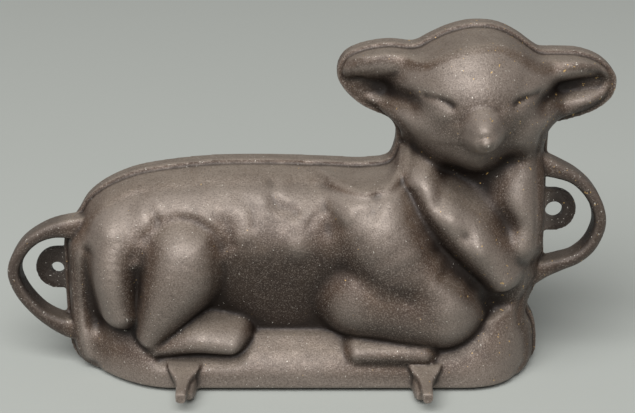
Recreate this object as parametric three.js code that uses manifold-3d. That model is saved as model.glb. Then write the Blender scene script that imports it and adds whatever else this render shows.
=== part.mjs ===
// A two-part cast-iron mould for baking a cake in the shape of a reclining lamb.
// Millimetres, +X towards the lamb's head, +Y away from its face, +Z up.
// The origin is on the table, under the middle of the closed mould's box.

import * as THREE from 'three';
import { mergeVertices } from 'three/addons/utils/BufferGeometryUtils.js';
import Module from 'manifold-3d';

const wasm = await Module();
wasm.setup();

// Pattern drawing, which every outline share follows
const drawingLength = 343;
const drawingHeight = 203.5;
// The box's middle lies this share of the length left of the drawing's own middle
const middleShare = 0.0041;

// Depths from the parting face
const frontReach = 75;
const backReach = 50;
const baseDepth = 48;
const torsoDepth = 45;
const neckDepth = 40;
const earDepth = 13.5;

// Castings
const wall = 3.6;
const frontFlange = 4;
const backFlange = 6.5;
const flangeProud = 2.5;
const partingGap = 0.3;
const lipDepth = 2;
const baseHeight = 17;
const bottomRound = 4.5;
const blendRadius = 6;
const overrun = 1;
// Steepest slope of a swell's side
const steepest = 1.8;
// Where a crease's shoulder lies, in widths from its middle
const creaseShoulder = 1.4;
// Shallow groove just inside the rim
const borderGroove = 1.6;
const borderInset = 6.2;
const borderWidth = 1.7;

// Spacing of the points that the sculpted surfaces are drawn through
const outlineStep = 4.5;
// Lean of the grids, so that no four of their points share a circle
const gridLean = 0.02;
const crestSteps = 3;
// How often the edges between them are gone over, the least gain for which one is swapped, and the
// least that a face may look towards the front or back
const edgePasses = 8;
const edgeGain = 0.001;
const edgeFacing = 0.1;
const frontGrid = { rings: [0, 1.4, 3.8, 6.2, 8.8], step: 3.8, bendLimit: 0.6, railStep: 5.5 };
const backGrid = { rings: [0, 1.6, 5.5], step: 5.2, bendLimit: 1, railStep: 8 };
const cavityGrid = { rings: [0, 3], step: 5.4, bendLimit: 2.6 };

// Loop handles of the front half
const loopDepth = 16;
const loopStrap = 7;
const loopRound = 2.2;

// Feet of the front half
const footFlare = 20;
const footNeck = 7.6;
const footTip = 6;
const footTipHeight = 5.8;
const footTipBottom = 7;
const footRootBottom = 3;
const footRoot = 9;
const footGusset = 6;
// Rounded web on the inner side of each foot
const webWidth = 7;
const webOffset = 3.2;
const webReach = 15;
const webTop = 11.2;
const webBottom = 0.8;
const webRound = 3;

// Hanging lugs of the back half
const lugThickness = 4.5;
const lugHeight = 25.6;
const leftLugHole = 7.6;
const rightLugHole = 10;

// Side of the lamb from the table at its rump, over back, ears and crown, to the table at its chest
const sideShares = [
  // rump
  [-0.373, 0.000], [-0.390, 0.012], [-0.402, 0.045], [-0.407, 0.100], [-0.409, 0.200],
  [-0.409, 0.300], [-0.405, 0.392], [-0.383, 0.452], [-0.368, 0.494], [-0.343, 0.530],
  // back
  [-0.310, 0.559], [-0.277, 0.577], [-0.180, 0.600], [-0.090, 0.605], [0.010, 0.601],
  [0.095, 0.597], [0.134, 0.611], [0.146, 0.650], [0.148, 0.708], [0.136, 0.743],
  // left ear
  [0.090, 0.782], [0.062, 0.825], [0.051, 0.866], [0.060, 0.905], [0.082, 0.926],
  [0.126, 0.940], [0.171, 0.936],
  // crown
  [0.200, 0.960], [0.228, 0.981], [0.262, 0.994], [0.300, 0.989], [0.331, 0.965],
  [0.354, 0.937], [0.370, 0.921],
  // right ear
  [0.400, 0.919], [0.437, 0.915], [0.470, 0.893], [0.490, 0.858], [0.493, 0.838],
  [0.487, 0.802], [0.463, 0.769], [0.423, 0.744], [0.388, 0.728],
  // neck and chest
  [0.386, 0.700], [0.385, 0.600], [0.386, 0.480], [0.386, 0.380], [0.386, 0.300],
  [0.377, 0.245], [0.364, 0.178], [0.377, 0.125], [0.381, 0.070], [0.379, 0.025],
  [0.360, 0.000],
];

// Swells: fall at one radius and the power it grows by, then x, z, radius and depth of each stop
const frontSwellShares = [
  // haunch, hip and folded hind foot
  [0.200, 2.6, [-0.206, 0.399, 0.061, 0.707], [-0.236, 0.288, 0.050, 0.680], [-0.264, 0.172, 0.026, 0.627]],
  [0.187, 2.4, [-0.312, 0.435, 0.038, 0.600], [-0.323, 0.314, 0.036, 0.613], [-0.306, 0.203, 0.026, 0.560]],
  [0.133, 2.0, [-0.259, 0.146, 0.020, 0.653], [-0.183, 0.162, 0.026, 0.707], [-0.121, 0.143, 0.023, 0.707]],
  // shoulder, upper arm, knee and shin
  [0.133, 2.0, [0.084, 0.466, 0.052, 0.653], [0.132, 0.435, 0.058, 0.680]],
  [0.200, 2.6, [0.091, 0.288, 0.047, 0.680], [0.149, 0.265, 0.055, 0.720], [0.210, 0.238, 0.050, 0.773]],
  [0.160, 2.4, [0.212, 0.200, 0.035, 0.773], [0.226, 0.184, 0.034, 0.773]],
  [0.080, 2.2, [0.079, 0.127, 0.013, 0.680], [0.193, 0.124, 0.016, 0.720]],
  // locks of neck wool
  [0.133, 2.0, [0.181, 0.630, 0.029, 0.640], [0.197, 0.581, 0.032, 0.653], [0.225, 0.508, 0.035, 0.667],
   [0.258, 0.435, 0.035, 0.680], [0.290, 0.366, 0.029, 0.667], [0.319, 0.282, 0.020, 0.640]],
  [0.107, 2.0, [0.159, 0.390, 0.023, 0.613], [0.220, 0.334, 0.023, 0.667], [0.271, 0.271, 0.020, 0.680],
   [0.306, 0.227, 0.015, 0.667]],
  [0.120, 2.0, [0.317, 0.610, 0.023, 0.533], [0.335, 0.486, 0.026, 0.547], [0.334, 0.376, 0.023, 0.560]],
  // brow and bridge of the muzzle, cheeks, and nose
  [0.400, 2.3, [0.262, 0.973, 0.087, 0.267], [0.264, 0.953, 0.093, 0.387], [0.265, 0.929, 0.096, 0.493],
   [0.265, 0.899, 0.099, 0.587], [0.265, 0.870, 0.096, 0.653], [0.266, 0.840, 0.085, 0.727],
   [0.267, 0.816, 0.067, 0.800], [0.268, 0.796, 0.052, 0.893], [0.269, 0.779, 0.038, 0.973]],
  [0.213, 2.0, [0.213, 0.835, 0.038, 0.587], [0.215, 0.772, 0.035, 0.613], [0.230, 0.712, 0.029, 0.573]],
  [0.213, 2.0, [0.326, 0.833, 0.035, 0.573], [0.322, 0.771, 0.035, 0.600], [0.313, 0.712, 0.029, 0.573]],
  [0.120, 2.4, [0.269, 0.790, 0.025, 0.978], [0.269, 0.776, 0.025, 0.990]],
];
const backSwellShares = [
  // haunch, hip and shoulder
  [0.300, 2.6, [-0.215, 0.360, 0.100, 0.980], [-0.235, 0.250, 0.070, 0.960]],
  [0.280, 2.4, [-0.315, 0.400, 0.040, 0.860], [-0.320, 0.280, 0.036, 0.860]],
  [0.300, 2.6, [0.110, 0.400, 0.095, 0.980], [0.130, 0.270, 0.080, 0.960]],
  // folded hind foot and fore knee
  [0.200, 2.2, [-0.200, 0.150, 0.030, 0.960], [-0.120, 0.145, 0.026, 0.960]],
  [0.220, 2.2, [0.130, 0.150, 0.030, 0.960], [0.220, 0.175, 0.040, 0.980]],
  // back of the head and nape
  [0.700, 2.4, [0.262, 0.870, 0.100, 1.000], [0.266, 0.740, 0.090, 0.920]],
];

// Creases: width, depth, then the x and z of each point
const frontCreaseShares = [
  // between the locks of neck wool
  [0.015, 0.07, 0.155, 0.579, 0.180, 0.493, 0.208, 0.418, 0.242, 0.335],
  [0.026, 0.09, 0.271, 0.626, 0.292, 0.528, 0.319, 0.412],
  [0.012, 0.05, 0.241, 0.342, 0.273, 0.300, 0.303, 0.234],
  [0.015, 0.05, 0.194, 0.321, 0.248, 0.258, 0.287, 0.210],
  // tail, and under the hind foot
  [0.015, 0.11, -0.370, 0.410, -0.365, 0.300, -0.352, 0.179],
  [0.009, 0.05, -0.259, 0.124, -0.180, 0.121, -0.115, 0.103],
  // throat, ears and eyes
  [0.023, 0.11, 0.176, 0.670, 0.232, 0.636, 0.288, 0.627, 0.327, 0.656],
  [0.017, 0.09, 0.076, 0.876, 0.110, 0.854, 0.149, 0.825],
  [0.017, 0.09, 0.386, 0.831, 0.424, 0.842, 0.460, 0.842],
  [0.007, 0.04, 0.185, 0.877, 0.202, 0.866, 0.219, 0.847],
  [0.007, 0.04, 0.325, 0.841, 0.339, 0.855, 0.352, 0.871],
];
const backCreaseShares = [
  // tail, and the parting of the wool behind the shoulder and on the nape
  [0.014, 0.12, -0.370, 0.410, -0.365, 0.300, -0.352, 0.179],
  [0.014, 0.09, 0.020, 0.520, 0.040, 0.400, 0.030, 0.280],
  [0.012, 0.09, 0.175, 0.600, 0.240, 0.520, 0.300, 0.400],
];

// Outer edges of the loops from root to root, anticlockwise
const leftLoopShares = [
  [-0.360, 0.462], [-0.400, 0.455], [-0.442, 0.434], [-0.486, 0.380], [-0.508, 0.300],
  [-0.497, 0.228], [-0.458, 0.146], [-0.410, 0.092], [-0.370, 0.080],
];
const rightLoopShares = [
  [0.350, 0.222], [0.369, 0.246], [0.397, 0.280], [0.424, 0.303], [0.450, 0.323], [0.473, 0.357],
  [0.487, 0.402], [0.492, 0.447], [0.485, 0.500], [0.466, 0.553], [0.440, 0.593], [0.412, 0.620],
  [0.384, 0.643], [0.352, 0.668],
];

// Hole centres of the lugs, and the feet's places along the base
const leftLugShares = [-0.430, 0.281];
const rightLugShares = [0.410, 0.459];
const lugRootShare = 0.375;
const footShares = [-0.208, 0.190];

// Places where one form gives way to the next: from x to x, or from z to z
const faceMiddleShare = 0.264;
const headShares = [0.70, 0.78];
const earSpreadShares = [0.100, 0.135];
const earRiseShares = [0.74, 0.80];
const chestShares = [0.10, 0.22];
const chestRiseShares = [0.40, 0.62];
const napeRiseShares = [0.66, 0.72];
const baseCornerShares = [-0.222, 0.235];
const baseEndShares = [-0.406, 0.390];
// How full the base's rounder corner is, and how much longer its ledge grows towards the ends
const baseFullness = 0.9;
const ledgeSpread = 1.6;
// Fall of the base across the ledge, and then for each ledge height above it
const ledgeFall = 0.31;
const aboveLedgeFall = 1.1;

// Ledge on top of the base and hollow of the belly, as shares of the drawing's height
const ledgeShare = 0.06;
const bellyShares = [0.46, 0.14];
const bellyHollowShare = 0.33;

// Widths of the rounded side of the torso, the neck and an ear, as shares of the length
const torsoRoundShare = 0.125;
const neckRoundShare = 0.085;
const earRoundShare = 0.036;
const rimRoundShare = 0.05;

const iron = new THREE.MeshStandardMaterial({ color: 0x5f5650, roughness: 0.5, metalness: 0.85 });
const backIron = new THREE.MeshStandardMaterial({ color: 0x554c47, roughness: 0.55, metalness: 0.85 });

const X = share => share * drawingLength;
const Z = share => share * drawingHeight;

function smoothStep(from, to, value) {
  const t = THREE.MathUtils.clamp((value - from) / (to - from), 0, 1);
  return t * t * (3 - 2 * t);
}

function smoothMax(a, b, radius) {
  const h = Math.max(radius - Math.abs(a - b), 0) / radius;
  return Math.max(a, b) + h * h * radius / 4;
}

const smoothMin = (a, b, radius) => -smoothMax(-a, -b, radius);

// The whole outline as evenly spaced points, clockwise from the table at the rump
function lambOutline() {
  const curve = new THREE.CatmullRomCurve3(sideShares.map(([x, z]) => new THREE.Vector3(X(x), 0, Z(z))));
  const side = curve.getSpacedPoints(Math.round(curve.getLength() / outlineStep));
  const [first, last] = [side[0], side.at(-1)];
  const bottomSteps = Math.round((last.x - first.x) / outlineStep);
  const bottom = Array.from({ length: bottomSteps - 1 }, (_, i) => {
    return last.clone().lerp(first, (i + 1) / bottomSteps);
  });
  return [...side, ...bottom];
}

const outline = lambOutline();
const tableStart = outline.findIndex((point, i) => i > 0 && point.z === 0);
const side = outline.slice(0, tableStart + 1);

// The outline moved in by a distance, or out where that is negative
function insetOutline(inset) {
  return outline.map((point, i) => {
    const before = outline.at(i - 1);
    const after = outline[(i + 1) % outline.length];
    const [dx, dz] = [after.x - before.x, after.z - before.z];
    const length = Math.hypot(dx, dz);
    return { x: point.x + dz / length * inset, z: point.z - dx / length * inset };
  });
}

function distanceToLine(x, z, line) {
  let nearest = Infinity;
  for (let i = 1; i < line.length; i += 1) {
    const a = line[i - 1];
    const dx = line[i].x - a.x;
    const dz = line[i].z - a.z;
    const t = THREE.MathUtils.clamp(((x - a.x) * dx + (z - a.z) * dz) / (dx * dx + dz * dz), 0, 1);
    nearest = Math.min(nearest, Math.hypot(x - a.x - t * dx, z - a.z - t * dz));
  }
  return nearest;
}

function isInside(x, z, outline) {
  let inside = false;
  for (let i = 0; i < outline.length; i += 1) {
    const a = outline[i];
    const b = outline[(i + 1) % outline.length];
    const crosses = (a.z > z) !== (b.z > z);
    if (crosses && x < (b.x - a.x) * (z - a.z) / (b.z - a.z) + a.x) inside = !inside;
  }
  return inside;
}

// Quarter of an ellipse, from the side of the lamb in to the full depth
function roundedSide(distance, width, depth) {
  const t = 1 - THREE.MathUtils.clamp(distance / width, 0, 1);
  return depth * Math.sqrt(1 - t * t);
}

// Crest of a swell: its stops and as many points between each two, each with its own radius
function swellCrest(stops, reach) {
  const through = places => new THREE.CatmullRomCurve3(places).getPoints((stops.length - 1) * crestSteps);
  const places = through(stops.map(([x, z, , depth]) => new THREE.Vector3(X(x), reach * depth, Z(z))));
  const radii = through(stops.map(([, , radius]) => new THREE.Vector3(X(radius), 0, 0)));
  return places.map((place, i) => ({ x: place.x, z: place.z, depth: place.y, radius: radii[i].x }));
}

// Fall of a swell's side: a power of the way out, until that grows too steep
function swellFall(away, radius, fall, power) {
  const edge = (steepest * radius / (fall * power)) ** (1 / (power - 1));
  if (away < edge) return fall * away ** power;
  return fall * edge ** power + (away - edge) * radius * steepest;
}

// A rounded form that falls away on both sides of its crest
function swell(x, z, { fall, power, crest }) {
  let surface = -Infinity;
  for (let i = 1; i < crest.length; i += 1) {
    const [a, b] = [crest[i - 1], crest[i]];
    const [dx, dz] = [b.x - a.x, b.z - a.z];
    const t = THREE.MathUtils.clamp(((x - a.x) * dx + (z - a.z) * dz) / (dx * dx + dz * dz), 0, 1);
    const radius = THREE.MathUtils.lerp(a.radius, b.radius, t);
    const away = Math.hypot(x - a.x - t * dx, z - a.z - t * dz) / radius;
    const depth = THREE.MathUtils.lerp(a.depth, b.depth, t);
    surface = Math.max(surface, depth - swellFall(away, radius, fall, power));
  }
  return surface;
}

// Evenly spaced points along the curve through a crease's own points
function creaseLine(row, step) {
  const points = [];
  for (let i = 2; i < row.length; i += 2) points.push(new THREE.Vector3(X(row[i]), 0, Z(row[i + 1])));
  const curve = new THREE.CatmullRomCurve3(points);
  return curve.getSpacedPoints(Math.ceil(curve.getLength() / step));
}

function crease(x, z, { width, depth, line }) {
  return depth * Math.exp(-((distanceToLine(x, z, line) / width) ** 2));
}

// The base is D-shaped in plan: a straight front between two rounded corners
function baseAt(x, z) {
  const left = (x - X(baseCornerShares[0])) / X(baseEndShares[0] - baseCornerShares[0]);
  const right = (x - X(baseCornerShares[1])) / X(baseEndShares[1] - baseCornerShares[1]);
  const end = THREE.MathUtils.clamp(Math.max(left, right), 0, 1);
  const plan = left > right ? 1 - end ** 2 : (1 - end ** 3) ** baseFullness;
  const ledge = Math.max(z - baseHeight, 0) / (Z(ledgeShare) * (1 + ledgeSpread * end));
  const fall = ledgeFall * Math.min(ledge, 1) + aboveLedgeFall * Math.max(ledge - 1, 0);
  return baseDepth * plan * (1 - fall);
}

// Depth of the lamb's surface in front of the parting face, or behind it
function reliefAt(x, z, forms) {
  const low = Math.max(z, 0);
  if (!isInside(x, low, outline)) return -wall;
  const fromSide = distanceToLine(x, low, side);
  const fromFace = Math.abs(x - X(faceMiddleShare));
  const rises = shares => smoothStep(...shares.map(Z), low);
  const spreads = (shares, value) => smoothStep(...shares.map(X), value);
  const ear = rises(headShares) * Math.max(spreads(earSpreadShares, fromFace), rises(earRiseShares));
  const chest = spreads(chestShares, x) * rises(chestRiseShares);
  const neck = (1 - ear) * Math.max(chest, rises(napeRiseShares));
  const torso = Math.max(1 - ear - neck, 0);
  const depth = torsoDepth * torso + neckDepth * neck + earDepth * ear;
  const width = X(torsoRoundShare * torso + neckRoundShare * neck + earRoundShare * ear);
  const belly = torso * rises(bellyShares);
  let surface = roundedSide(fromSide, width, depth);
  surface -= torsoDepth * bellyHollowShare * belly * smoothStep(0, X(torsoRoundShare) / 2, fromSide);
  surface = smoothMax(surface, baseAt(x, low), blendRadius);
  for (const form of forms.swells) surface = smoothMax(surface, swell(x, low, form), blendRadius);
  for (const groove of forms.creases) surface -= crease(x, low, groove);
  surface -= borderGroove * torso * Math.exp(-(((fromSide - borderInset) / borderWidth) ** 2));
  const rim = roundedSide(fromSide, X(rimRoundShare), forms.reach + blendRadius);
  surface = smoothMin(surface, rim, blendRadius);
  const nearTable = THREE.MathUtils.clamp(1 - low / bottomRound, 0, 1);
  return surface - bottomRound * (1 - Math.sqrt(1 - nearTable * nearTable));
}

// Inner surface of the casting: the relief worn back by a ball as large as the wall
const ballSteps = [[0, 0, 1]];
for (const lean of [Math.PI / 4, Math.PI / 2]) {
  for (let turn = 0; turn < Math.PI * 2; turn += Math.PI / 4) {
    ballSteps.push([Math.sin(lean) * Math.cos(turn), Math.sin(lean) * Math.sin(turn), Math.cos(lean)]);
  }
}

function cavityAt(x, z, forms) {
  const depths = ballSteps.map(([dx, dz, cap]) => {
    return reliefAt(x + dx * wall, z + dz * wall, forms) - cap * wall;
  });
  return Math.max(Math.min(...depths), lipDepth);
}

// A geometry as a solid for joining and cutting
function solid(geometry) {
  geometry.deleteAttribute('normal');
  geometry.deleteAttribute('uv');
  const merged = mergeVertices(geometry);
  return new wasm.Manifold(new wasm.Mesh({
    numProp: 3,
    vertProperties: new Float32Array(merged.attributes.position.array),
    triVerts: new Uint32Array(merged.index.array),
  }));
}

// Delaunay triangles over points, each new point replacing the triangles whose circles hold it
function triangulate(points) {
  const far = 10 * drawingLength;
  const all = [...points, { x: -far, z: -far }, { x: far, z: -far }, { x: 0, z: far }];
  const withCircle = (a, b, c) => {
    const [p, q, r] = [all[a], all[b], all[c]];
    const [bx, bz, cx, cz] = [q.x - p.x, q.z - p.z, r.x - p.x, r.z - p.z];
    const d = 2 * (bx * cz - bz * cx);
    const x = (cz * (bx * bx + bz * bz) - bz * (cx * cx + cz * cz)) / d;
    const z = (bx * (cx * cx + cz * cz) - cx * (bx * bx + bz * bz)) / d;
    return { corners: [a, b, c], x: p.x + x, z: p.z + z, squared: x * x + z * z };
  };
  let triangles = [withCircle(points.length, points.length + 1, points.length + 2)];
  points.forEach((point, i) => {
    const edges = new Map();
    triangles = triangles.filter(({ corners: [a, b, c], x, z, squared }) => {
      if ((point.x - x) ** 2 + (point.z - z) ** 2 >= squared) return true;
      for (const [from, to] of [[a, b], [b, c], [c, a]]) {
        if (!edges.delete(`${to} ${from}`)) edges.set(`${from} ${to}`, [from, to]);
      }
      return false;
    });
    for (const [from, to] of edges.values()) triangles.push(withCircle(from, to, i));
  });
  return triangles.map(({ corners }) => corners).filter(corners => Math.max(...corners) < points.length);
}

// Swaps the edge that two triangles share wherever the surface then bends less across it, so that
// the edges come to run along the folds
function alignEdges(faces, places) {
  const normal = (a, b, c) => {
    const [ab, ac] = [b, c].map(corner => places[corner].clone().sub(places[a]));
    return ac.cross(ab).normalize();
  };
  const owners = new Map();
  const claim = (face, i) => face.forEach((a, k) => owners.set(`${a} ${face[(k + 1) % 3]}`, i));
  const swapOne = i => {
    for (const k of [0, 1, 2]) {
      const [a, b, c] = [0, 1, 2].map(step => faces[i][(k + step) % 3]);
      const j = owners.get(`${b} ${a}`);
      if (j === undefined) continue;
      const d = faces[j].find(corner => corner !== a && corner !== b);
      const [first, second] = [normal(a, d, c), normal(d, b, c)];
      if (Math.min(first.y, second.y) < edgeFacing) continue;
      if (first.dot(second) < normal(a, b, c).dot(normal(b, a, d)) + edgeGain) continue;
      owners.delete(`${a} ${b}`);
      owners.delete(`${b} ${a}`);
      faces[i] = [a, d, c];
      faces[j] = [d, b, c];
      claim(faces[i], i);
      claim(faces[j], j);
      return;
    }
  };
  faces.forEach(claim);
  for (let pass = 0; pass < edgePasses; pass += 1) faces.forEach((_, i) => swapOne(i));
}

// The middle and both shoulders of a crease
function creaseRail(row, step) {
  const line = creaseLine(row, step);
  return [-1, 0, 1].flatMap(away => line.map((point, i) => {
    const [before, after] = [line[Math.max(i - 1, 0)], line[Math.min(i + 1, line.length - 1)]];
    const across = new THREE.Vector3(before.z - after.z, 0, after.x - before.x);
    return point.clone().add(across.setLength(away * X(row[0]) * creaseShoulder));
  }));
}

// How far the surface at a point stands off the mean of its six neighbours a step away
function bend(x, z, step, depthAt) {
  const around = Array.from({ length: 6 }, (_, k) => {
    const turn = k * Math.PI / 3;
    return depthAt(x + step * Math.cos(turn), z + step * Math.sin(turn));
  });
  return Math.abs(around.reduce((sum, depth) => sum + depth / around.length, 0) - depthAt(x, z));
}

// Points over the lamb: rings that follow its outline, rails along its creases, then a staggered
// grid, which is twice as close where the surface bends
function reliefPoints(inset, { rings, step, bendLimit }, rails, depthAt) {
  const points = rings.flatMap(ring => insetOutline(inset + ring));
  const innermost = inset + rings.at(-1);
  const loop = [...outline, outline[0]];
  const isClear = (x, z, space) => isInside(x, z, outline) && distanceToLine(x, z, loop) > innermost + space;
  const along = rails.filter(({ x, z }) => isClear(x, z, step / 2));
  const isSpaced = (x, z) => along.every(point => Math.hypot(point.x - x, point.z - z) > step * 3 / 4);
  points.push(...along);
  const rowStep = step * Math.sqrt(3) / 2;
  for (let row = 0; row * rowStep < drawingHeight; row += 1) {
    const z = row * rowStep;
    for (let column = 0; column * step < drawingLength; column += 1) {
      const x = (column + (row % 2) / 2) * step - drawingLength / 2 + z * gridLean;
      if (!isClear(x, z, step * 3 / 4) || !isSpaced(x, z)) continue;
      const isCoarse = row % 2 === 0 && (column + row / 2) % 2 === 0;
      if (isCoarse || bend(x, z, step, depthAt) > bendLimit) points.push({ x, z });
    }
  }
  return points;
}

// Closed block over the lamb's outline: a flat face at start and the relief on the other side.
// The direction is -1 for the front half and 1 for the back half.
function reliefBlock(direction, inset, start, grid, rails, depthAt) {
  const points = reliefPoints(inset, grid, rails, depthAt);
  const ring = insetOutline(inset);
  const places = points.map(({ x, z }) => new THREE.Vector3(x, depthAt(x, z), z));
  const positions = places.flatMap(({ x, y, z }) => [x, direction * y, z]);
  const middle = corners => corners.reduce((sum, k) => ({
    x: sum.x + points[k].x / 3, z: sum.z + points[k].z / 3,
  }), { x: 0, z: 0 });
  const faces = triangulate(points).filter(corners => {
    const { x, z } = middle(corners);
    return isInside(x, z, ring);
  });
  alignEdges(faces, places);
  ring.forEach(({ x, z }, i) => {
    const next = (i + 1) % ring.length;
    positions.push(x, direction * start, z);
    faces.push([i, next, points.length + next], [i, points.length + next, points.length + i]);
  });
  const flat = ring.map(({ x, z }) => new THREE.Vector2(x, z));
  for (const corners of THREE.ShapeUtils.triangulateShape(flat, [])) {
    faces.push(corners.map(k => k + points.length).reverse());
  }
  const geometry = new THREE.BufferGeometry();
  geometry.setAttribute('position', new THREE.Float32BufferAttribute(positions, 3));
  geometry.setIndex(faces.flatMap(face => (direction < 0 ? face : face.slice().reverse())));
  return solid(geometry);
}

// A plate cut to an outline in x and z, between two depths on the given side
function plate(direction, shape, from, to, options = {}) {
  const geometry = new THREE.ExtrudeGeometry(shape, {
    depth: to - from, bevelEnabled: false, curveSegments: 3, ...options,
  });
  geometry.rotateX(Math.PI / 2);
  geometry.translate(0, direction < 0 ? -from : to, 0);
  return solid(geometry);
}

// Parting flange, which stands proud of the lamb's side all round but ends flush at the table
function flange(direction, thickness) {
  const edge = insetOutline(-flangeProud).map(({ x, z }) => new THREE.Vector2(x, Math.max(z, 0)));
  return plate(direction, new THREE.Shape(edge), 0, thickness);
}

// Loop handle: a strap with rounded edges, swept along its outer edge from root to root
function loopHandle(shares) {
  const path = new THREE.CatmullRomCurve3(shares.map(([x, z]) => new THREE.Vector3(X(x), 0, Z(z))));
  const section = new THREE.Shape();
  section.moveTo(0, 0);
  section.lineTo(0, -loopStrap);
  section.lineTo(loopDepth - loopRound, -loopStrap);
  section.quadraticCurveTo(loopDepth, -loopStrap, loopDepth, loopRound - loopStrap);
  section.lineTo(loopDepth, -loopRound);
  section.quadraticCurveTo(loopDepth, 0, loopDepth - loopRound, 0);
  return solid(new THREE.ExtrudeGeometry(section, {
    extrudePath: path, steps: (shares.length - 1) * 4, curveSegments: 3,
  }));
}

// A side view, drawn as depth and height, as a slab of the given width
function slab(view, width, middle) {
  const geometry = new THREE.ExtrudeGeometry(view, { depth: width, bevelEnabled: false, curveSegments: 4 });
  const [alongX, alongY, alongZ] = [0, 1, 2].map(axis => new THREE.Vector3().setComponent(axis, 1));
  geometry.applyMatrix4(new THREE.Matrix4().makeBasis(alongY, alongZ, alongX));
  geometry.translate(middle - width / 2, 0, 0);
  return solid(geometry);
}

// Foot: what a flared plan and a tapered side view, each extruded, have in common
function foot(middle) {
  const root = baseDepth - footRoot;
  const neckEnd = baseDepth + footGusset;
  const plan = new THREE.Shape();
  plan.moveTo(-footFlare / 2, -root);
  plan.lineTo(-footFlare / 2, -baseDepth + bottomRound);
  plan.quadraticCurveTo(-footNeck / 2, -baseDepth, -footNeck / 2, -neckEnd);
  plan.lineTo(-footTip / 2, -frontReach);
  plan.lineTo(footTip / 2, -frontReach);
  plan.lineTo(footNeck / 2, -neckEnd);
  plan.quadraticCurveTo(footNeck / 2, -baseDepth, footFlare / 2, -baseDepth + bottomRound);
  plan.lineTo(footFlare / 2, -root);
  const upright = { depth: baseHeight * 2, bevelEnabled: false, curveSegments: 5 };
  const seenFromAbove = new THREE.ExtrudeGeometry(plan, upright);
  seenFromAbove.translate(middle, 0, 0);
  const tipTop = footTipBottom + footTipHeight;
  const view = new THREE.Shape();
  view.moveTo(-root, footRootBottom);
  view.lineTo(-neckEnd, (footRootBottom + footTipBottom) / 2);
  view.lineTo(-frontReach, footTipBottom);
  view.lineTo(-frontReach, tipTop);
  view.lineTo(-neckEnd, (tipTop * 3 + baseHeight) / 4);
  view.quadraticCurveTo(-baseDepth, (tipTop + baseHeight) / 2, -root, baseHeight + blendRadius / 2);
  return solid(seenFromAbove).intersect(slab(view, footFlare * 2, middle));
}

// Low web with a rounded nose, beside a foot towards the middle of the base
function footWeb(middle) {
  const [root, end] = [baseDepth - footRoot, baseDepth + webReach];
  const view = new THREE.Shape();
  view.moveTo(-root, webBottom);
  view.lineTo(webRound - end, webBottom);
  view.quadraticCurveTo(-end, webBottom, -end, webBottom + webRound);
  view.lineTo(-end, webTop - webRound);
  view.quadraticCurveTo(-end, webTop, webRound - end, webTop);
  view.lineTo(-root, webTop);
  return slab(view, webWidth, middle - Math.sign(middle) * webOffset);
}

// Hanging lug: a tab with a round end and a round hole
function lug(centre, hole) {
  const [x, z] = [X(centre[0]), Z(centre[1])];
  const radius = lugHeight / 2;
  const outward = Math.sign(x);
  const shape = new THREE.Shape();
  shape.moveTo(outward * X(lugRootShare), z - radius);
  shape.lineTo(x, z - radius);
  shape.absarc(x, z, radius, -Math.PI / 2, Math.PI / 2, outward < 0);
  shape.lineTo(outward * X(lugRootShare), z + radius);
  const opening = new THREE.Path();
  opening.absarc(x, z, hole / 2, 0, Math.PI * 2);
  shape.holes.push(opening);
  return plate(1, shape, 0, lugThickness, { curveSegments: 16 });
}

// One iron casting: flange and lamb joined with what stands out from them, then hollowed
function casting(direction, thickness, { reach, swellRows, creaseRows }, fittings, outerGrid) {
  const forms = {
    reach,
    swells: swellRows.map(([fall, power, ...stops]) => ({
      fall: reach * fall, power, crest: swellCrest(stops, reach),
    })),
    creases: creaseRows.map(row => ({
      width: X(row[0]), depth: reach * row[1], line: creaseLine(row, outlineStep),
    })),
  };
  const rails = creaseRows.flatMap(row => creaseRail(row, outerGrid.railStep));
  const outer = reliefBlock(direction, 0, thickness / 3, outerGrid, rails,
    (x, z) => Math.max(reliefAt(x, z, forms), thickness * 2 / 3));
  let body = flange(direction, thickness).add(outer);
  for (const fitting of fittings) body = body.add(fitting);
  const cavity = reliefBlock(direction, wall, -overrun, cavityGrid, [],
    (x, z) => cavityAt(x, z, forms));
  return body.subtract(cavity);
}

function toMesh(name, body, material) {
  const { vertProperties, triVerts } = body.getMesh();
  const geometry = new THREE.BufferGeometry();
  geometry.setAttribute('position', new THREE.BufferAttribute(vertProperties, 3));
  geometry.setIndex(new THREE.BufferAttribute(triVerts, 1));
  geometry.computeVertexNormals();
  const mesh = new THREE.Mesh(geometry, material);
  mesh.name = name;
  return mesh;
}

function frontHalf() {
  const relief = { reach: frontReach, swellRows: frontSwellShares, creaseRows: frontCreaseShares };
  const fittings = [
    loopHandle(leftLoopShares),
    loopHandle(rightLoopShares),
    ...footShares.flatMap(share => [foot(X(share)), footWeb(X(share))]),
  ];
  return toMesh('front_half', casting(-1, frontFlange, relief, fittings, frontGrid), iron);
}

function backHalf() {
  const relief = { reach: backReach, swellRows: backSwellShares, creaseRows: backCreaseShares };
  const fittings = [
    lug(leftLugShares, leftLugHole),
    lug(rightLugShares, rightLugHole),
  ];
  return toMesh('back_half', casting(1, backFlange, relief, fittings, backGrid), backIron);
}

const mould = new THREE.Group();
const front = frontHalf();
const back = backHalf();
front.position.y = -partingGap / 2;
back.position.y = partingGap / 2;
mould.add(front, back);
mould.position.set(X(middleShare), (frontReach - backReach) / 2, 0);

export default mould;
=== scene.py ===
import math

import bmesh
import bpy
import numpy as np
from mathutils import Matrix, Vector, geometry


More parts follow.
